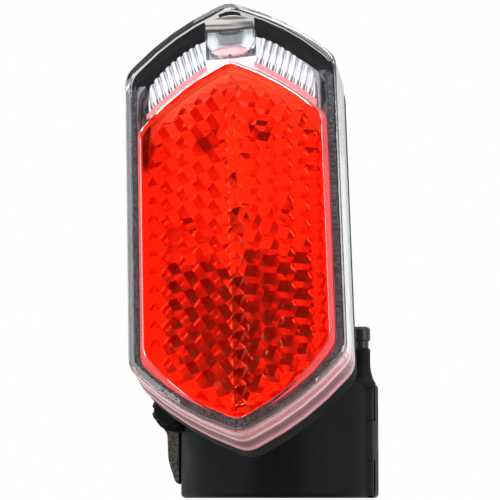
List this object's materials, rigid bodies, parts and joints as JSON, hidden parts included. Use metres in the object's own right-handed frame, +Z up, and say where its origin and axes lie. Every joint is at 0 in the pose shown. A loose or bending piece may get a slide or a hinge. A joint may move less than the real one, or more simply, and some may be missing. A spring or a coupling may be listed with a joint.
{
  "type": "bicycle rear light",
  "caption": "Upright hexagonal bicycle rear light with a red prism reflector panel, a clear lamp window above it, and a hinged clamp for a seat post.",
  "frame": {"origin": "centre of the seat post bore, halfway up the clamp", "axes": "+Z up along the seat post, the light faces -Y, +X to the right as the light is looked at"},
  "size_m": [0.0457, 0.0851, 0.095],
  "materials": {
    "clamp_black": "moulded black nylon with a fine grain",
    "liner_rubber": "dark grey rubber",
    "pin_black": "blackened steel",
    "screw_steel": "bright zinc plate",
    "knob_black": "moulded black nylon",
    "washer_nylon": "natural nylon",
    "housing_black": "moulded black plastic, satin",
    "clear_acrylic": "clear moulded acrylic, polished",
    "red_acrylic": "transparent red acrylic, polished front and prismatic back",
    "gasket_speckled": "dark grey foam rubber with speckles",
    "guide_acrylic": "clear moulded acrylic with fluted front",
    "lamp_resin": "clear resin lamp with a tinted core",
    "tray_white": "white moulded plastic",
    "board_black": "black solder mask on glass fibre",
    "switch_plastic": "dark moulded plastic",
    "button_rubber": "soft dark grey rubber",
    "seal_rubber": "black rubber",
    "battery_sleeve": "plain printed sleeve on a steel can",
    "contact_nickel": "nickel plated spring steel"
  },
  "bodies": {
    "clamp": {"clamp_front": "clamp_black", "clamp_rear": "clamp_black", "hinge_pin": "pin_black", "liner_front": "liner_rubber", "liner_rear": "liner_rubber", "clamp_nut": "screw_steel"},
    "knob": {"clamp_knob": "knob_black", "clamp_screw": "screw_steel"},
    "knuckle": {"swivel_knuckle": "clamp_black", "swivel_bolt": "screw_steel", "swivel_washer": "washer_nylon"},
    "light": {"rear_housing": "housing_black", "clear_cover": "clear_acrylic", "red_lens": "red_acrylic", "rim_gasket": "gasket_speckled", "light_guide": "guide_acrylic", "led_optic": "guide_acrylic", "led": "lamp_resin", "reflector_tray": "tray_white", "circuit_board": "board_black", "board_screws": "screw_steel", "tact_switch": "switch_plastic", "housing_seal": "seal_rubber", "battery_left": "battery_sleeve", "battery_right": "battery_sleeve", "contacts_top": "contact_nickel", "contacts_bottom": "contact_nickel", "battery_door": "housing_black", "door_seal": "seal_rubber", "door_screw": "screw_steel", "tilt_bolt": "screw_steel", "tilt_nut": "screw_steel"},
    "button": {"power_button": "button_rubber"}
  },
  "joints": [
    {"name": "swivel", "type": "hinge", "parent": "clamp", "child": "knuckle", "pos_m": [0.0009, -0.0228, 0.01], "axis": [0, 1, 0], "range_deg": [-84, 92]},
    {"name": "tilt", "type": "hinge", "parent": "knuckle", "child": "light", "pos_m": [0.0009, -0.031, 0.01], "axis": [0.9973, 0, 0.0732], "range_deg": [-5, 40]},
    {"name": "button_press", "type": "slide", "parent": "light", "child": "button", "axis": [-0.0214, -0.9563, 0.2916], "range_m": [0, 0.0008], "stiffness_N_per_m": 300, "springref_m": -0.0005},
    {"name": "knob_turn", "type": "hinge", "parent": "clamp", "child": "knob", "pos_m": [-0.0204, -0.011, 0.006], "axis": [0, 1, 0], "continuous": true}
  ]
}
